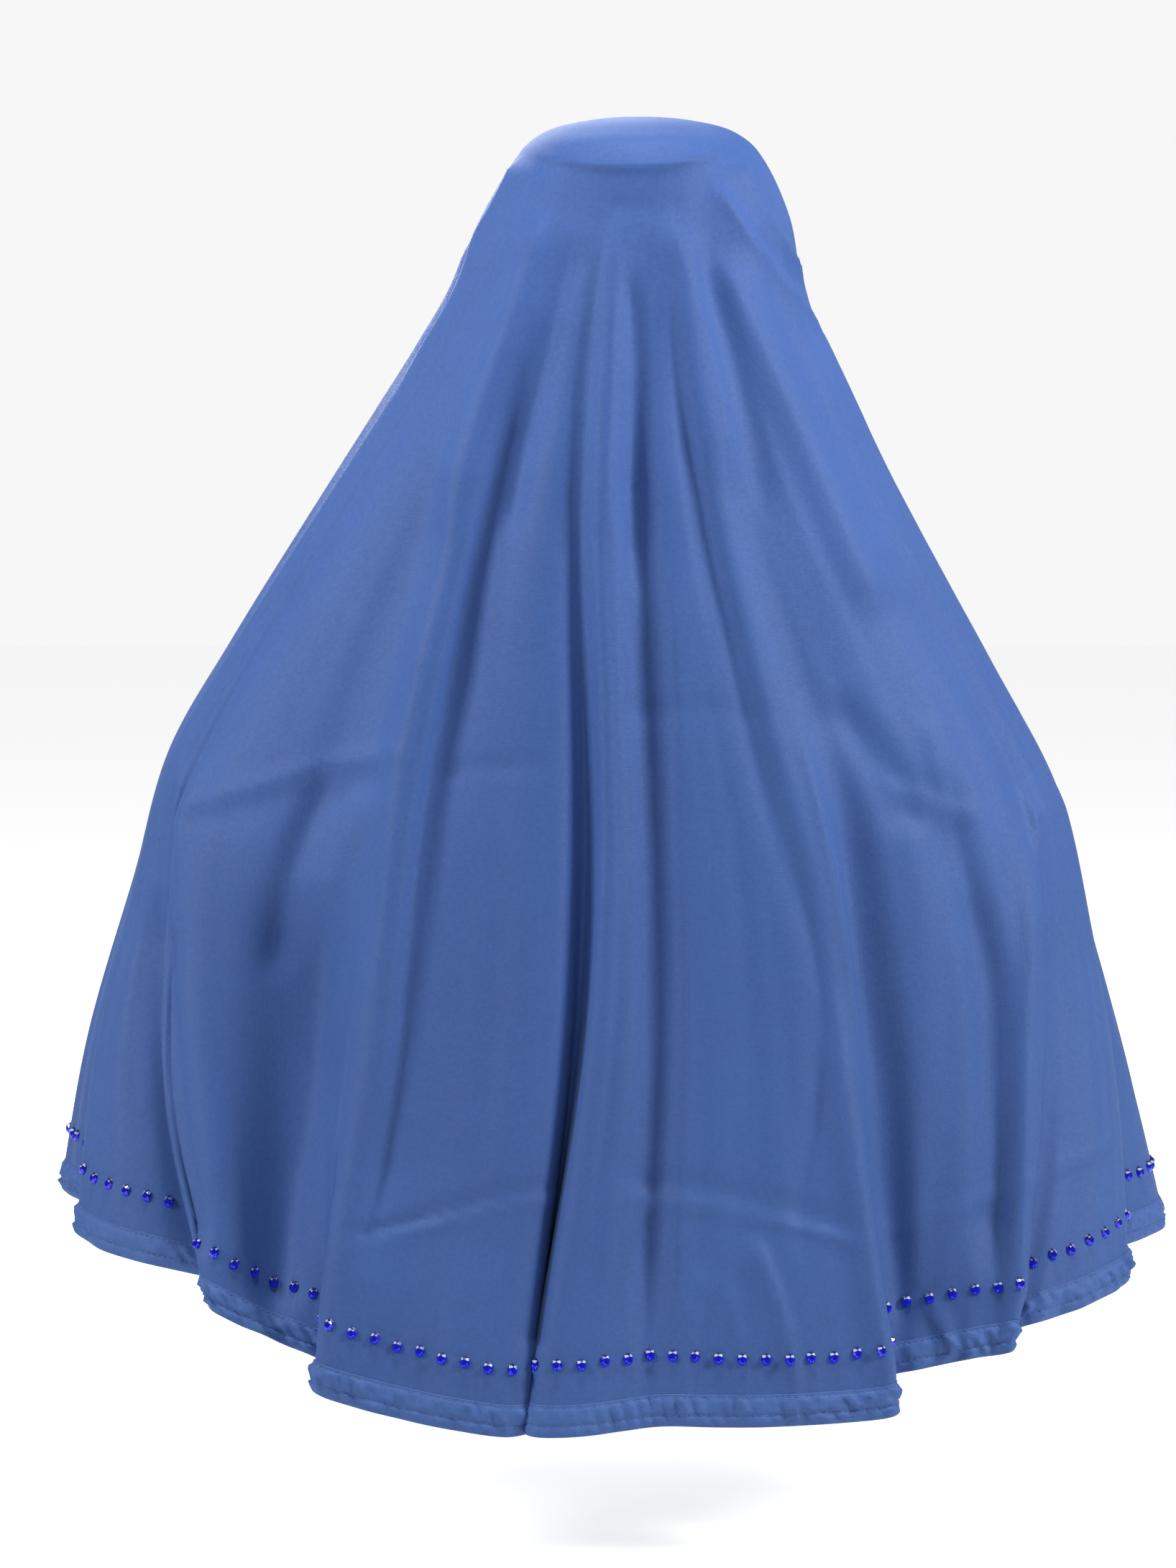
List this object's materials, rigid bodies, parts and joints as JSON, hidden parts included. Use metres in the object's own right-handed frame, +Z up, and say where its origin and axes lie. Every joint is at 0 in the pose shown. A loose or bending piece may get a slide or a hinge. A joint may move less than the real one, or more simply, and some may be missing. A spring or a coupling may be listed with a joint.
{
  "type": "slip-on hijab",
  "caption": "Pull-on head covering with a long draped tail, an oval face opening, a turned hem and a row of cut stones above it.",
  "frame": {"origin": "inner top of the crown, where the head carries the cloth", "axes": "+Z up, the face looks towards -Y, the tail hangs at +Y, +X is the wearer's left"},
  "size_m": [0.6511, 0.3621, 0.7239],
  "materials": {
    "veil_cloth": "matte crepe with a faint sheen",
    "hem_cloth": "matte crepe, turned and stitched twice",
    "band_cloth": "matte crepe, turned over elastic",
    "cut_stone": "faceted, foil backed, glossy"
  },
  "bodies": {
    "root": {"veil": "veil_cloth", "hem_band": "hem_cloth", "face_band": "band_cloth", "stone_row": "cut_stone"}
  },
  "joints": []
}
